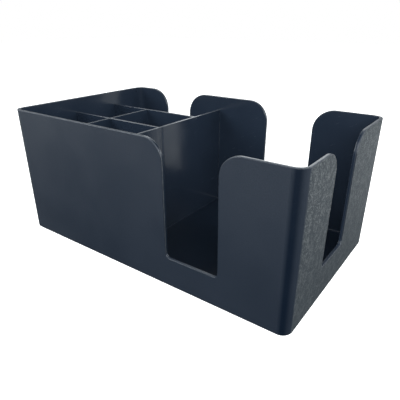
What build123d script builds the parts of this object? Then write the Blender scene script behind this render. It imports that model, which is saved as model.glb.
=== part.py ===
from build123d import *

import os
from math import radians, tan

# Napkin and bar caddy: a square napkin bay beside a straw channel and four cups.
#
# The shell is one moulding whose walls lean outward. The bay wall snaps into stopped grooves in the
# shell. Three thin dividers stand on the floor between guide ribs and lift straight out for washing.
#
# Origin: centre of the footprint, on the plane the rubber feet stand on. +X points to the napkin
# end, -Y is the front, which has one grab cut-out, and +Z is up. Millimetres.

# Shell
RIM_LENGTH = 240.0  # outside, along X
RIM_WIDTH = 141.5  # outside, along Y
SHELL_HEIGHT = 101.2  # underside to rim
DRAFT = 0.56  # outward lean of every wall, in degrees
WALL = 2.25
FLOOR = 2.5
CORNER_RADIUS = 8.0  # outside vertical corners, at the rim
BASE_EDGE_RADIUS = 1.5
FLOOR_FILLET = 1.5  # inside, around the floor
EDGE_BREAK = 0.4  # along the rim and round the cut-outs

# Feet
FOOT_DIAMETER = 12.0
FOOT_STAND = 1.0  # how far a foot stands below the underside
FOOT_RECESS = 0.8
FOOT_RECESS_GAP = 0.2  # around the pad, in the recess
FOOT_EDGE_RADIUS = 0.5
FOOT_X = 98.0
FOOT_Y = 50.0

# Bay wall and dividers
DIVIDER_DROP = 11.6  # from the rim down to the tops of all dividers
BAY_WALL_X = -20.8
BAY_WALL_THICKNESS = 2.0
STRAW_DIVIDER_Y = 31.9
CUP_DIVIDER_Y = -13.3
CROSS_DIVIDER_X = -74.8
DIVIDER_THICKNESS = 1.8
DIVIDER_EDGE_RADIUS = 0.3
SLIP = 0.1  # clearance on each side of a panel in its slot
GROOVE_DEPTH = 0.8  # of the shell's grooves for the bay wall
EAR_HEIGHT = 21.0  # of the ear that hangs in the bay wall's slot
END_GAP = 0.3  # from a lift-out divider to the wall beside it
TONGUE = 0.5  # how far the cross divider reaches into the straw divider's groove
TONGUE_GROOVE = 0.6
RIB_THICKNESS = 1.2
RIB_REACH = 1.0  # how far a guide rib stands off the wall
RIB_DROP = 22.0  # from a divider's top down to the rib's top

# Grab cut-outs
SILL_RADIUS = 3.5  # bottom corners of every cut-out
FRONT_CUTOUT = {"low": 31.0, "high": 71.4, "sill": 21.9, "corner": 14.0}
REAR_CUTOUT = {"low": 27.4, "high": 67.8, "sill": 21.9, "corner": 17.0}
STRAW_CUTOUT = {"low": -82.3, "high": -54.4, "sill": 21.9, "corner": 18.0}
END_CUTOUT = {"low": -26.2, "high": 10.0, "sill": 24.5, "corner": 15.0}

# The walls that the cut-outs go through, as planes just inside each wall that face outward or in
FRONT_PLANE = Plane.XZ.offset(RIM_WIDTH / 2 - 2 * WALL)
REAR_PLANE = Plane.XZ.offset(-RIM_WIDTH / 2 - WALL)
END_PLANE = Plane.YZ.offset(RIM_LENGTH / 2 - 2 * WALL)
CUTOUTS = (
    (FRONT_PLANE, FRONT_CUTOUT),
    (REAR_PLANE, REAR_CUTOUT),
    (REAR_PLANE, STRAW_CUTOUT),
    (END_PLANE, END_CUTOUT),
)

# Derived heights and slopes
LEAN = tan(radians(DRAFT))
UNDERSIDE_Z = FOOT_STAND
FLOOR_Z = UNDERSIDE_Z + FLOOR
RIM_Z = UNDERSIDE_Z + SHELL_HEIGHT
DIVIDER_TOP_Z = RIM_Z - DIVIDER_DROP
EAR_BOTTOM_Z = DIVIDER_TOP_Z - EAR_HEIGHT
CROSSING_Z = (FLOOR_Z + DIVIDER_TOP_Z) / 2
RIB_TOP_Z = DIVIDER_TOP_Z - RIB_DROP
RIB_OFFSET = DIVIDER_THICKNESS / 2 + SLIP + RIB_THICKNESS / 2
PAST = 5.0  # how far a cutting shape runs past what it cuts


def half_length(z):
    """Half the shell's outside length at height z."""
    return RIM_LENGTH / 2 - (RIM_Z - z) * LEAN


def half_width(z):
    """Half the shell's outside width at height z."""
    return RIM_WIDTH / 2 - (RIM_Z - z) * LEAN


def corner_radius(z):
    """Radius of the shell's outside vertical corners at height z."""
    return CORNER_RADIUS - (RIM_Z - z) * LEAN


def rounded_outline(z, inset):
    """The shell's plan outline at height z, moved in by inset."""
    with BuildSketch(Plane.XY.offset(z)) as outline:
        RectangleRounded(
            2 * (half_length(z) - inset),
            2 * (half_width(z) - inset),
            corner_radius(z) - inset,
        )
    return outline.sketch


def inner_half_length(z):
    """Half the shell's inside length at height z."""
    return half_length(z) - WALL


def inner_half_width(z):
    """Half the shell's inside width at height z."""
    return half_width(z) - WALL


def upright_face(plane, points):
    """A flat face on an upright plane, from its corner points."""
    with BuildSketch(plane) as face:
        with BuildLine():
            Polyline(*points, close=True)
        make_face()
    return face.sketch


def bay_wall_face(reach, top):
    """The bay wall's face. Its ends run past the long walls' inner faces by reach."""
    bottom = FLOOR_Z - GROOVE_DEPTH
    return upright_face(
        Plane.YZ.offset(BAY_WALL_X),
        [
            (-inner_half_width(bottom) - reach, bottom),
            (inner_half_width(bottom) + reach, bottom),
            (inner_half_width(top) + reach, top),
            (-inner_half_width(top) - reach, top),
        ],
    )


def rib_face(plane, inner_half_span):
    """The side face of a guide rib on a leaning wall. It starts inside the wall and the floor."""
    bottom = FLOOR_Z - FLOOR / 2
    inside_wall = WALL / 2
    return upright_face(
        plane,
        [
            (-inner_half_span(bottom) - inside_wall, bottom),
            (-inner_half_span(bottom) + RIB_REACH, bottom),
            (-inner_half_span(RIB_TOP_Z) + RIB_REACH, RIB_TOP_Z),
            (-inner_half_span(RIB_TOP_Z) - inside_wall, RIB_TOP_Z),
        ],
    )


def long_divider_face(y):
    """A long divider's face. It rests on the floor and hangs an ear in the bay wall's slot."""
    near_side = BAY_WALL_X - BAY_WALL_THICKNESS / 2
    far_side = BAY_WALL_X + BAY_WALL_THICKNESS / 2
    chamfer_z = FLOOR_Z + FLOOR_FILLET
    return upright_face(
        Plane.XZ.offset(-y),
        [
            (-inner_half_length(FLOOR_Z) + END_GAP + FLOOR_FILLET, FLOOR_Z),
            (near_side - END_GAP, FLOOR_Z),
            (near_side - END_GAP, EAR_BOTTOM_Z),
            (far_side, EAR_BOTTOM_Z),
            (far_side, DIVIDER_TOP_Z),
            (-inner_half_length(DIVIDER_TOP_Z) + END_GAP, DIVIDER_TOP_Z),
            (-inner_half_length(chamfer_z) + END_GAP, chamfer_z),
        ],
    )


def cross_divider_face():
    """The cross divider's face. Its rear edge is a tongue in the straw divider's groove."""
    tongue_end = STRAW_DIVIDER_Y - DIVIDER_THICKNESS / 2 + TONGUE
    chamfer_z = FLOOR_Z + FLOOR_FILLET
    return upright_face(
        Plane.YZ.offset(CROSS_DIVIDER_X),
        [
            (-inner_half_width(FLOOR_Z) + END_GAP + FLOOR_FILLET, FLOOR_Z),
            (tongue_end, FLOOR_Z),
            (tongue_end, DIVIDER_TOP_Z),
            (-inner_half_width(DIVIDER_TOP_Z) + END_GAP, DIVIDER_TOP_Z),
            (-inner_half_width(chamfer_z) + END_GAP, chamfer_z),
        ],
    )


def is_rim_or_cutout(edge):
    """True for the edges to break: above the sills, and longer than the wall is thick."""
    lowest_sill = UNDERSIDE_Z + min(cutout["sill"] for _, cutout in CUTOUTS)
    return edge.bounding_box().min.Z > lowest_sill - EDGE_BREAK and edge.length > 1.5 * WALL


def save(piece, name):
    """Label a finished piece and write it to its own file."""
    piece.label = name
    export_step(piece, f"parts/{name}.step")


os.makedirs("parts", exist_ok=True)

# Shell: floor, four walls and the cut-outs in the rim
with BuildPart() as shell:
    extrude(rounded_outline(UNDERSIDE_Z, 0), amount=SHELL_HEIGHT, taper=-DRAFT)
    fillet(shell.faces().sort_by(Axis.Z)[0].edges(), BASE_EDGE_RADIUS)
    extrude(
        rounded_outline(FLOOR_Z, WALL),
        amount=RIM_Z - FLOOR_Z + PAST,
        taper=-DRAFT,
        mode=Mode.SUBTRACT,
    )
    fillet(shell.edges(Select.LAST).group_by(Axis.Z)[0], FLOOR_FILLET)

    for plane, cutout in CUTOUTS:
        sill_z = UNDERSIDE_Z + cutout["sill"]
        with BuildSketch(plane) as opening:
            with Locations(((cutout["low"] + cutout["high"]) / 2, sill_z)):
                Rectangle(
                    cutout["high"] - cutout["low"],
                    RIM_Z + PAST - sill_z,
                    align=(Align.CENTER, Align.MIN),
                )
            fillet(opening.vertices().group_by(Axis.Y)[0], SILL_RADIUS)
        extrude(amount=2 * PAST, mode=Mode.SUBTRACT)
        through_wall = shell.edges(Select.LAST).filter_by(Axis(plane.origin, plane.z_dir))
        fillet(through_wall.group_by(Axis.Z)[-1], cutout["corner"])

    fillet(shell.edges().filter_by(is_rim_or_cutout), EDGE_BREAK)

    # Stopped groove for the bay wall, in both long walls and across the floor
    extrude(
        bay_wall_face(GROOVE_DEPTH, DIVIDER_TOP_Z + SLIP),
        amount=BAY_WALL_THICKNESS / 2 + SLIP,
        both=True,
        mode=Mode.SUBTRACT,
    )

    # Guide ribs, in pairs: on the end wall for the long dividers, on the front for the cross divider
    for side in (-RIB_OFFSET, RIB_OFFSET):
        for divider_y in (STRAW_DIVIDER_Y, CUP_DIVIDER_Y):
            rib = rib_face(Plane.XZ.offset(-divider_y + side), inner_half_length)
            extrude(rib, amount=RIB_THICKNESS / 2, both=True)
        rib = rib_face(Plane.YZ.offset(CROSS_DIVIDER_X + side), inner_half_width)
        extrude(rib, amount=RIB_THICKNESS / 2, both=True)

    # Recesses for the feet
    with BuildSketch(Plane.XY.offset(UNDERSIDE_Z)):
        with GridLocations(2 * FOOT_X, 2 * FOOT_Y, 2, 2):
            Circle(FOOT_DIAMETER / 2 + FOOT_RECESS_GAP)
    extrude(amount=FOOT_RECESS, mode=Mode.SUBTRACT)

save(shell.part, "caddy_shell")

# Bay wall: full width, with a slot open at the top for each long divider's ear
with BuildPart() as bay_wall:
    extrude(
        bay_wall_face(GROOVE_DEPTH - SLIP, DIVIDER_TOP_Z),
        amount=BAY_WALL_THICKNESS / 2,
        both=True,
    )
    fillet(bay_wall.edges().filter_by(Axis.Y).group_by(Axis.Z)[-1], DIVIDER_EDGE_RADIUS)
    with BuildSketch(Plane.XY.offset(EAR_BOTTOM_Z - SLIP)):
        with Locations((BAY_WALL_X, STRAW_DIVIDER_Y), (BAY_WALL_X, CUP_DIVIDER_Y)):
            Rectangle(BAY_WALL_THICKNESS, DIVIDER_THICKNESS + 2 * SLIP)
    extrude(amount=EAR_HEIGHT + SLIP, mode=Mode.SUBTRACT)

save(bay_wall.part, "bay_wall")

# Straw divider: between the straw channel and the cups
with BuildPart() as straw_divider:
    extrude(long_divider_face(STRAW_DIVIDER_Y), amount=DIVIDER_THICKNESS / 2, both=True)
    fillet(straw_divider.edges().filter_by(Axis.X).group_by(Axis.Z)[-1], DIVIDER_EDGE_RADIUS)
    # Groove for the cross divider's tongue, open at the top and the bottom
    with BuildSketch(Plane.XY.offset(FLOOR_Z)):
        with Locations((CROSS_DIVIDER_X, STRAW_DIVIDER_Y - DIVIDER_THICKNESS / 2)):
            Rectangle(DIVIDER_THICKNESS + 2 * SLIP, 2 * TONGUE_GROOVE)
    extrude(amount=DIVIDER_TOP_Z - FLOOR_Z, mode=Mode.SUBTRACT)

save(straw_divider.part, "straw_divider")

# Cup divider: between the two rows of cups, slotted from the top for the cross divider
with BuildPart() as cup_divider:
    extrude(long_divider_face(CUP_DIVIDER_Y), amount=DIVIDER_THICKNESS / 2, both=True)
    fillet(cup_divider.edges().filter_by(Axis.X).group_by(Axis.Z)[-1], DIVIDER_EDGE_RADIUS)
    with BuildSketch(Plane.XY.offset(CROSSING_Z)):
        with Locations((CROSS_DIVIDER_X, CUP_DIVIDER_Y)):
            Rectangle(DIVIDER_THICKNESS + 2 * SLIP, DIVIDER_THICKNESS)
    extrude(amount=DIVIDER_TOP_Z - CROSSING_Z, mode=Mode.SUBTRACT)

save(cup_divider.part, "cup_divider")

# Cross divider: slotted from below, so that it drops over the cup divider
with BuildPart() as cross_divider:
    extrude(cross_divider_face(), amount=DIVIDER_THICKNESS / 2, both=True)
    fillet(cross_divider.edges().filter_by(Axis.Y).group_by(Axis.Z)[-1], DIVIDER_EDGE_RADIUS)
    with BuildSketch(Plane.XY.offset(FLOOR_Z)):
        with Locations((CROSS_DIVIDER_X, CUP_DIVIDER_Y)):
            Rectangle(DIVIDER_THICKNESS, DIVIDER_THICKNESS + 2 * SLIP)
    extrude(amount=CROSSING_Z + SLIP - FLOOR_Z, mode=Mode.SUBTRACT)

save(cross_divider.part, "cross_divider")

# Feet: round rubber pads seated in the recesses
for x_side, x_name in ((-1, "left"), (1, "right")):
    for y_side, y_name in ((-1, "front"), (1, "rear")):
        with BuildPart() as foot:
            with BuildSketch():
                with Locations((x_side * FOOT_X, y_side * FOOT_Y)):
                    Circle(FOOT_DIAMETER / 2)
            extrude(amount=FOOT_STAND + FOOT_RECESS)
            fillet(foot.edges().group_by(Axis.Z)[0], FOOT_EDGE_RADIUS)
        save(foot.part, f"foot_{y_name}_{x_name}")
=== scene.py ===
import math

import bpy
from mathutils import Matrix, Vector


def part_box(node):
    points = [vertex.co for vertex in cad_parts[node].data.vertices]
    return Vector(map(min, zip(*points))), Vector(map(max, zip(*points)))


# A black moulded napkin caddy on a white studio floor: its finishes, the camera and the lights

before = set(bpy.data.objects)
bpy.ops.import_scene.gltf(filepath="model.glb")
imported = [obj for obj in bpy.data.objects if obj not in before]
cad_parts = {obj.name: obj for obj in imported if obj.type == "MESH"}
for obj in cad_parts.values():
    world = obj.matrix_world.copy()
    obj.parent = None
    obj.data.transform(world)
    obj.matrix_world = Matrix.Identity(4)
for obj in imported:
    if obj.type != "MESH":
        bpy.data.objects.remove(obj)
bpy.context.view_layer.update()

MM = 0.001
X, Y, Z = range(3)

# The camera's place and the point it looks at, then its lens and sensor in millimetres
CAMERA_AT = Vector((183.0, -240.2, 165.0)) * MM
CAMERA_AIM = Vector((30.45, -31.13, 50.02)) * MM
LENS = 36.48
SENSOR = 36.0
NEAREST_SEEN = 10 * MM

# Colours, as linear red, green and blue
WHITE = (1.0, 1.0, 1.0)
COOL_WHITE = (0.93, 0.98, 1.0)
PALE_GREY = (0.6, 0.6, 0.6)
BLACK_PLASTIC = (0.011, 0.0165, 0.027)
# The outside's paler black: partly its own satin tone, partly painted light, graded up toward the rim
SATIN_TONE_AND_PAINTED_LIGHT = (0.0185, 0.0245, 0.036)
# Painted shade, laid on the bay floor and on the rounded upright corners
PAINTED_SHADE_BLACK = (0.0035, 0.0075, 0.0155)
# Painted sheen: the paler colour of the grained ends stands in for the light they reflect
GRAINED_END_PAINTED_SHEEN = (0.046, 0.053, 0.060)
SCUFFED_PLASTIC = (0.050, 0.058, 0.068)
# Painted glints: pale specks where the ends' grain catches the light
PAINTED_GRAIN_GLINTS = (0.125, 0.133, 0.138)
RUBBER = (0.014, 0.014, 0.015)
SCUFFED_RUBBER = (0.040, 0.040, 0.038)

# The black plastic's tone runs between these parts of its colour
DARKER = 0.85
PALER = 1.2

# How rough the soft noise is, and where nearly all of it lies
NOISE_ROUGHNESS = 0.55
SOFT_RANGE = (0.3, 0.7)

# The shell's outside: half its length and width, its rim, how far its walls lean, its corner radius,
# and the depths under the surface between which the outside gives way to the inside
HALF_LENGTH, HALF_WIDTH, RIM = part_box("caddy_shell")[1]
DRAFT = math.tan(math.radians(0.56))
CORNER = 8 * MM
OUTER_SKIN = (-1.2 * MM, -0.4 * MM)

# How squarely a surface faces an axis, from where it starts to count as such to where it counts fully
FACING_END = (0.94, 0.995)
LEVEL = (0.8, 0.95)
UPRIGHT = (0.3, 0.1)
TURNED_FROM_SIDE = (0.0, 0.35)
SHORT_OF_END = (0.95, 0.5)

# A level face starts to count as the floor below the first height, and does so fully below the second
FLOOR_HEIGHTS = (0.2 * RIM, 0.1 * RIM)

# The outside's painted light: it grows paler from this height up to the rim, as the upper walls catch
# more light, and is this pale below it
PAINTED_LIGHT_FROM = 0.1 * RIM
LEAST_PAINTED_LIGHT = 0.35

# How well a face agrees with a rounded version of itself, from just short of an edge to on the edge
EDGE_AGREEMENT = (0.995, 0.90)

# The scratches' length, how much finer they are across, and the noise that is high enough to be one
SCRATCH_LENGTH = 9 * MM
SCRATCH_FINENESS = (1.0, 1.0, 30.0)
SCRATCH_RANGE = (0.66, 0.74)

# The shell's finish: pattern sizes and depths, and the strengths of tones, painted shade, roughness and
# shine
SHELL = {
    "clouds": 30 * MM,
    "grain": 1.1 * MM,
    "patches": 4 * MM,
    "painted_glints": (0.46, 0.62),
    "speckle_of_grain": 0.6,
    "speckle_of_patches": 0.4,
    "edge": 0.7 * MM,
    "scuffs": 5 * MM,
    "scuffed": (0.3, 0.6),
    "scratch_angle": 0.5,
    "scratch_tone": 0.15,
    "scratch_roughness": 0.08,
    "floor_painted_shade": 0.3,
    "roughness": (0.17, 0.23),
    "outside_roughness": 0.25,
    "matt_roughness": 0.15,
    "waves": 22 * MM,
    "wave_depth": 0.12 * MM,
    "grain_depth": 0.08 * MM,
    "end_grain_depth": 0.35 * MM,
    "shine": 0.5,
    "shine_lost": 0.42,
    "corner_dulled": 0.8,
}

# The finish of the inner walls, which are polished, and handled only along their tops
PANEL = {
    "clouds": 25 * MM,
    "edge": 0.5 * MM,
    "handled": (3 * MM, 1 * MM),
    "scratch_angle": 0.3,
    "scratch_tone": 0.12,
    "scratch_roughness": 0.10,
    "roughness": (0.15, 0.21),
    "waves": 20 * MM,
    "wave_depth": 0.08 * MM,
    "hollow_reach": 4.5 * MM,
    "hollow_depth": -0.15 * MM,
    "shine": 0.5,
}
PANEL_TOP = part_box("bay_wall")[1][Z]

# The feet's rubber
FOOT = {
    "stipple": 0.5 * MM,
    "stipple_depth": 0.15 * MM,
    "dust": 3 * MM,
    "dusty": (0.4, 0.7),
    "roughness": (0.70, 0.85),
    "shine": 0.35,
}

# The floor: how far it reaches, and how much light it gives back, from the far side to the near side
FLOOR_REACH = 3.0
NEAR_SIDE = Vector((0.4, -0.92, 0.0))
FLOOR_FADE = (-0.12, 0.06)
FLOOR_GIVES = (0.6, 0.0)

# The room: the heights, in degrees, between which its brightness falls from the first to the second
ROOM_HEIGHTS = (12, 28)
ROOM_BRIGHTNESS = (0.9, 0.05)


class Shader:
    """The nodes of a material or of the world, being put together."""

    # Colour sockets of a mix node, which share their names with its other sockets
    FIRST = 6
    SECOND = 7
    BLEND = 2

    def __init__(self, owner, output="OutputMaterial"):
        """Empties the material or the world, down to its output."""
        self.owner = owner
        self.owner.use_nodes = True
        self.tree = owner.node_tree
        self.tree.nodes.clear()
        self.surface = self.add(output).inputs["Surface"]

    def add(self, kind, inputs=None, **fields):
        """A new node. Each input takes a plain value, or the socket that feeds it."""
        node = self.tree.nodes.new("ShaderNode" + kind)
        for field, value in fields.items():
            setattr(node, field, value)
        for socket, value in (inputs or {}).items():
            self.feed(node.inputs[socket], value)
        return node

    def feed(self, socket, value):
        """Gives a socket its value, or links it to the socket that the value comes from."""
        if isinstance(value, bpy.types.NodeSocket):
            self.tree.links.new(value, socket)
        else:
            socket.default_value = value

    def place(self):
        """Where the shaded point is on the piece, in metres, whatever pose the piece has."""
        return self.add("TexCoord").outputs["Object"]

    def axes(self, place):
        """The three parts of a place, as separate sockets."""
        parts = self.add("SeparateXYZ", {"Vector": place}).outputs
        return parts["X"], parts["Y"], parts["Z"]

    def calc(self, operation, *values):
        """One sum on plain numbers or sockets."""
        return self.add("Math", dict(enumerate(values)), operation=operation).outputs["Value"]

    def times(self, first, *others):
        """The values multiplied together."""
        for other in others:
            first = self.calc("MULTIPLY", first, other)
        return first

    def plus(self, first, *others):
        """The values added up."""
        for other in others:
            first = self.calc("ADD", first, other)
        return first

    def most(self, first, *others):
        """The highest of the values."""
        for other in others:
            first = self.calc("MAXIMUM", first, other)
        return first

    def dot(self, first, second):
        """How far two directions agree."""
        node = self.add("VectorMath", {0: first, 1: second}, operation="DOT_PRODUCT")
        return node.outputs["Value"]

    def scaled(self, place, factors):
        """A place stretched along each axis."""
        node = self.add("VectorMath", {0: place, 1: factors}, operation="MULTIPLY")
        return node.outputs["Vector"]

    def noise(self, place, size, detail=2.0):
        """Soft random values from 0 to 1, with spots of about the given size in metres."""
        inputs = {"Vector": place, "Scale": 1.0 / size, "Detail": detail, "Roughness": NOISE_ROUGHNESS}
        return self.add("TexNoise", inputs).outputs["Fac"]

    def ramp(self, value, start, stop, low=0.0, high=1.0):
        """The value carried smoothly from one range to another, and held at both ends."""
        inputs = {"Value": value, "From Min": start, "From Max": stop, "To Min": low, "To Max": high}
        return self.add("MapRange", inputs, interpolation_type="SMOOTHSTEP").outputs["Result"]

    def mix(self, factor, first, second):
        """A blend of two colours."""
        node = self.add("Mix", {"Factor": factor}, data_type="RGBA")
        for socket, colour in ((self.FIRST, first), (self.SECOND, second)):
            if not isinstance(colour, bpy.types.NodeSocket):
                colour = (*colour, 1.0)
            self.feed(node.inputs[socket], colour)
        return node.outputs[self.BLEND]

    def edges(self, radius):
        """Values that rise to 1 along sharp outer edges."""
        rounded = self.add("Bevel", {"Radius": radius}, samples=6).outputs["Normal"]
        true = self.add("NewGeometry").outputs["Normal"]
        return self.ramp(self.dot(rounded, true), *EDGE_AGREEMENT)

    def bump(self, height, depth, under=None):
        """A normal bent by a height from 0 to 1 that stands for a depth in metres."""
        inputs = {"Height": height, "Distance": depth, "Strength": 1.0}
        if under is not None:
            inputs["Normal"] = under
        return self.add("Bump", inputs).outputs["Normal"]

    def finish(self, colour, roughness, normal, shine):
        """Ends a material in one surface, and hands the material over."""
        inputs = {"Base Color": colour, "Roughness": roughness, "Normal": normal}
        inputs["Specular IOR Level"] = shine
        surface = self.add("BsdfPrincipled", inputs).outputs["BSDF"]
        self.tree.links.new(surface, self.surface)
        return self.owner

    def finish_twice(self, lighting, seen):
        """Ends in one surface that lights the piece, and another that only the camera sees."""
        to_camera = self.add("LightPath").outputs["Is Camera Ray"]
        mixed = self.add("MixShader", {0: to_camera, 1: lighting, 2: seen})
        self.tree.links.new(mixed.outputs["Shader"], self.surface)
        return self.owner


def material(name):
    """A new material with nothing in it."""
    return bpy.data.materials.new(name)


def scratches(shader, place, angle):
    """Sparse fine scratches, all running about one way."""
    turned = shader.add("VectorRotate", {"Vector": place, "Angle": angle}, rotation_type="Y_AXIS")
    narrowed = shader.scaled(turned.outputs["Vector"], SCRATCH_FINENESS)
    return shader.ramp(shader.noise(narrowed, SCRATCH_LENGTH, detail=3.0), *SCRATCH_RANGE)


def uneven_black(shader, cloud):
    """The plastic's black, which drifts a little from place to place."""
    darker = [part * DARKER for part in BLACK_PLASTIC]
    paler = [part * PALER for part in BLACK_PLASTIC]
    return shader.mix(cloud, darker, paler)


def facing(shader, axis):
    """How squarely the surface faces along one axis of the piece, from 0 to 1, either way."""
    normal = shader.add("TexCoord").outputs["Normal"]
    return shader.calc("ABSOLUTE", shader.axes(normal)[axis])


def outer_side(shader, place):
    """1 on the outside of the shell's leaning walls and rounded corners, 0 on the inside."""
    x, y, z = shader.axes(place)
    inset = shader.times(shader.calc("SUBTRACT", RIM, z), DRAFT)
    squares = []
    for value, half in ((x, HALF_LENGTH), (y, HALF_WIDTH)):
        past = shader.calc("SUBTRACT", shader.calc("ABSOLUTE", value), half - CORNER)
        past = shader.most(past, 0.0)
        squares.append(shader.times(past, past))
    reach = shader.calc("SQRT", shader.plus(*squares))
    gap = shader.calc("SUBTRACT", shader.plus(reach, inset), CORNER)
    return shader.ramp(gap, *OUTER_SKIN)


def rounded_corner(shader):
    """Up to 1 on the upright rounded corners, most toward the long walls, and 0 on level edges."""
    turned = facing(shader, X)
    arc = shader.times(shader.ramp(turned, *TURNED_FROM_SIDE), shader.ramp(turned, *SHORT_OF_END))
    return shader.times(arc, shader.ramp(facing(shader, Z), *UPRIGHT))


def shell_regions(shader, place):
    """The shell's regions by name, each 1 on the region and 0 elsewhere."""
    outside = outer_side(shader, place)
    level = shader.ramp(facing(shader, Z), *LEVEL)
    low = shader.ramp(shader.axes(place)[Z], *FLOOR_HEIGHTS)
    return {
        "outside": outside,
        "end": shader.times(outside, shader.ramp(facing(shader, X), *FACING_END)),
        "level": level,
        "floor": shader.times(level, low),
        "corner": shader.times(rounded_corner(shader), outside),
    }


def shell_colour(shader, place, regions, cloud, grain, lines):
    """Black inside; outside a little paler, with painted light growing toward the rim; painted shade on
    the floor and rounded corners; ends paler with painted sheen and glints.
    """
    # Painted light: the outside grows paler with height, toward the rim
    height = shader.ramp(shader.axes(place)[Z], PAINTED_LIGHT_FROM, RIM, LEAST_PAINTED_LIGHT, 1.0)
    painted_paling = shader.times(regions["outside"], height)
    tone = shader.mix(painted_paling, uneven_black(shader, cloud), SATIN_TONE_AND_PAINTED_LIGHT)
    # Painted shade: the floor and the rounded upright corners are darkened in colour
    shade = shader.most(shader.times(regions["floor"], SHELL["floor_painted_shade"]), regions["corner"])
    tone = shader.mix(shade, tone, PAINTED_SHADE_BLACK)
    # Painted sheen: the grained ends take a paler colour for the light they reflect
    tone = shader.mix(regions["end"], tone, GRAINED_END_PAINTED_SHEEN)

    # Painted glints: pale specks on the ends' grain, fading downward with the painted light
    patches = shader.times(shader.noise(place, SHELL["patches"]), SHELL["speckle_of_patches"])
    spots = shader.plus(shader.times(grain, SHELL["speckle_of_grain"]), patches)
    painted_glints = shader.times(shader.ramp(spots, *SHELL["painted_glints"]), regions["end"], height)
    tone = shader.mix(painted_glints, tone, PAINTED_GRAIN_GLINTS)

    tone = shader.mix(shader.times(lines, SHELL["scratch_tone"]), tone, SCUFFED_PLASTIC)
    scuffs = shader.ramp(shader.noise(place, SHELL["scuffs"]), *SHELL["scuffed"])
    return shader.mix(shader.times(shader.edges(SHELL["edge"]), scuffs), tone, SCUFFED_PLASTIC)


def shell_roughness(shader, regions, cloud, lines):
    """Smooth inside, satin outside, and duller on the ends and on level faces."""
    polish = shader.ramp(cloud, *SOFT_RANGE, *SHELL["roughness"])
    satin = shader.times(regions["outside"], SHELL["outside_roughness"])
    matt = shader.times(shader.most(regions["end"], regions["level"]), SHELL["matt_roughness"])
    scratched = shader.times(lines, SHELL["scratch_roughness"])
    return shader.plus(polish, satin, matt, scratched)


def shell_relief(shader, place, regions, grain):
    """Slow waves everywhere, fine grain outside, and deeper grain on the ends."""
    waves = shader.bump(shader.noise(place, SHELL["waves"], detail=1.0), SHELL["wave_depth"])
    fine = shader.bump(shader.times(grain, regions["outside"]), SHELL["grain_depth"], waves)
    return shader.bump(shader.times(grain, regions["end"]), SHELL["end_grain_depth"], fine)


def shell_shine(shader, regions):
    """How strongly the shell mirrors: least on the ends, the floor and the rounded corners."""
    corner = shader.times(regions["corner"], SHELL["corner_dulled"])
    dulled = shader.most(regions["end"], regions["floor"], corner)
    return shader.calc("SUBTRACT", SHELL["shine"], shader.times(dulled, SHELL["shine_lost"]))


def shell_plastic():
    """Black moulded plastic: grained and satin outside, smoother inside, scuffed along its edges, with
    painted light, shade, sheen and glints in its colour.
    """
    shader = Shader(material("shell_plastic"))
    place = shader.place()
    regions = shell_regions(shader, place)
    cloud = shader.noise(place, SHELL["clouds"])
    grain = shader.noise(place, SHELL["grain"], detail=3.0)
    lines = scratches(shader, place, SHELL["scratch_angle"])
    colour = shell_colour(shader, place, regions, cloud, grain, lines)
    roughness = shell_roughness(shader, regions, cloud, lines)
    relief = shell_relief(shader, place, regions, grain)
    return shader.finish(colour, roughness, relief, shell_shine(shader, regions))


def panel_plastic(name, hollow_at=None):
    """The same black plastic with a polished skin. It may have one upright hollow, across the piece."""
    shader = Shader(material(name))
    place = shader.place()
    cloud = shader.noise(place, PANEL["clouds"])
    lines = scratches(shader, place, PANEL["scratch_angle"])

    start, full = PANEL["handled"]
    handled = shader.ramp(shader.axes(place)[Z], PANEL_TOP - start, PANEL_TOP - full)
    scratched = shader.times(lines, PANEL["scratch_tone"])
    tone = shader.mix(scratched, uneven_black(shader, cloud), SCUFFED_PLASTIC)
    colour = shader.mix(shader.times(shader.edges(PANEL["edge"]), handled), tone, SCUFFED_PLASTIC)

    polish = shader.ramp(cloud, *SOFT_RANGE, *PANEL["roughness"])
    roughness = shader.plus(polish, shader.times(lines, PANEL["scratch_roughness"]))

    relief = shader.bump(shader.noise(place, PANEL["waves"], detail=1.0), PANEL["wave_depth"])
    if hollow_at is not None:
        offset = shader.calc("ABSOLUTE", shader.calc("SUBTRACT", shader.axes(place)[Y], hollow_at))
        hollow = shader.ramp(offset, 0.0, PANEL["hollow_reach"], 1.0, 0.0)
        relief = shader.bump(hollow, PANEL["hollow_depth"], relief)
    return shader.finish(colour, roughness, relief, PANEL["shine"])


def foot_rubber():
    """Matt black rubber with a fine stipple, dusty in patches."""
    shader = Shader(material("foot_rubber"))
    place = shader.place()
    stipple = shader.noise(place, FOOT["stipple"], detail=3.0)
    dust = shader.ramp(shader.noise(place, FOOT["dust"], detail=4.0), *FOOT["dusty"])
    colour = shader.mix(dust, RUBBER, SCUFFED_RUBBER)
    roughness = shader.ramp(stipple, *SOFT_RANGE, *FOOT["roughness"])
    return shader.finish(colour, roughness, shader.bump(stipple, FOOT["stipple_depth"]), FOOT["shine"])


def dress(name, finish):
    """Gives a CAD node its finish."""
    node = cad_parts[name]
    node.data.materials.clear()
    node.data.materials.append(finish)


def middle(name, axis):
    """The middle of a piece's box along one axis."""
    low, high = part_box(name)
    return (low[axis] + high[axis]) / 2


def add_to_scene(name, data):
    """A new object in the scene."""
    thing = bpy.data.objects.new(name, data)
    bpy.context.scene.collection.objects.link(thing)
    return thing


def add_camera():
    """The camera, at the height and side from which the caddy is seen."""
    data = bpy.data.cameras.new("camera")
    data.lens = LENS
    data.sensor_width = SENSOR
    data.clip_start = NEAREST_SEEN
    camera = add_to_scene("camera", data)
    camera.location = CAMERA_AT
    camera.rotation_euler = (CAMERA_AIM - CAMERA_AT).to_track_quat("-Z", "Y").to_euler()
    bpy.context.scene.camera = camera


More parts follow.
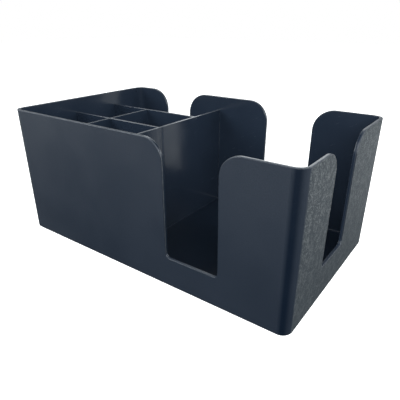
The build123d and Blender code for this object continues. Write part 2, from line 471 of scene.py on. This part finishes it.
def floor_material():
    """A pale floor. The camera sees it white, and it gives the caddy less light on the near side."""
    shader = Shader(material("floor"))
    pale = shader.add("BsdfDiffuse", {"Color": (*PALE_GREY, 1.0)})
    glow = shader.add("Emission", {"Color": (*WHITE, 1.0), "Strength": 1.0})
    seen = shader.add("AddShader", {0: pale.outputs["BSDF"], 1: glow.outputs["Emission"]})
    nearness = shader.dot(shader.add("NewGeometry").outputs["Position"], NEAR_SIDE)
    lighting = shader.add("BsdfDiffuse", {"Color": shader.ramp(nearness, *FLOOR_FADE, *FLOOR_GIVES)})
    return shader.finish_twice(lighting.outputs["BSDF"], seen.outputs["Shader"])


def add_floor():
    """The floor that the caddy stands on. It is stage, not part of the caddy."""
    mesh = bpy.data.meshes.new("floor")
    signs = ((-1, -1), (1, -1), (1, 1), (-1, 1))
    corners = [(x * FLOOR_REACH, y * FLOOR_REACH, 0.0) for x, y in signs]
    mesh.from_pydata(corners, [], [(0, 1, 2, 3)])
    floor = add_to_scene("floor", mesh)
    floor.data.materials.append(floor_material())


def add_softbox(name, azimuth, width, height, brightness, elevation=33, distance=1.2):
    """A soft rectangular light that faces the caddy, with angles in degrees and lengths in metres."""
    turn = math.radians(azimuth)
    rise = math.radians(elevation)
    level = distance * math.cos(rise)
    data = bpy.data.lights.new(name, "AREA")
    data.shape = "RECTANGLE"
    data.size = width
    data.size_y = height
    data.color = COOL_WHITE
    data.energy = brightness * math.pi * width * height
    light = add_to_scene(name, data)
    light.location = (level * math.cos(turn), level * math.sin(turn), distance * math.sin(rise))
    light.rotation_euler = light.location.to_track_quat("Z", "Y").to_euler()


def add_world():
    """A dim room, brighter low down. The camera sees plain white beyond the floor."""
    shader = Shader(bpy.data.worlds.new("studio"), "OutputWorld")
    direction = shader.add("TexCoord").outputs["Generated"]
    heights = [math.sin(math.radians(angle)) for angle in ROOM_HEIGHTS]
    level = shader.ramp(shader.axes(direction)[Z], *heights, *ROOM_BRIGHTNESS)
    room = shader.add("Background", {"Color": (*COOL_WHITE, 1.0), "Strength": level})
    backdrop = shader.add("Background", {"Color": (*WHITE, 1.0)})
    world = shader.finish_twice(room.outputs["Background"], backdrop.outputs["Background"])
    bpy.context.scene.world = world


dress("caddy_shell", shell_plastic())
dress("bay_wall", panel_plastic("bay_wall_plastic", middle("cup_divider", Y)))
panel = panel_plastic("panel_plastic")
for panel_name in ("straw_divider", "cup_divider", "cross_divider"):
    dress(panel_name, panel)
rubber = foot_rubber()
for foot_name in ("foot_front_left", "foot_front_right", "foot_rear_left", "foot_rear_right"):
    dress(foot_name, rubber)

add_camera()
add_floor()
add_world()
add_softbox("left_softbox", azimuth=221, width=0.8, height=0.65, brightness=9.0)
add_softbox("right_softbox", azimuth=315, width=1.4, height=0.65, brightness=7.5)
add_softbox("rear_softbox", azimuth=30, width=0.65, height=0.65, brightness=5.0)
add_softbox("side_card", azimuth=60, width=0.8, height=0.45, brightness=1.0, elevation=9, distance=1.5)
add_softbox("rim_light", azimuth=115, width=0.6, height=0.5, brightness=3.2, elevation=30)
bpy.context.scene.view_settings.view_transform = "Standard"
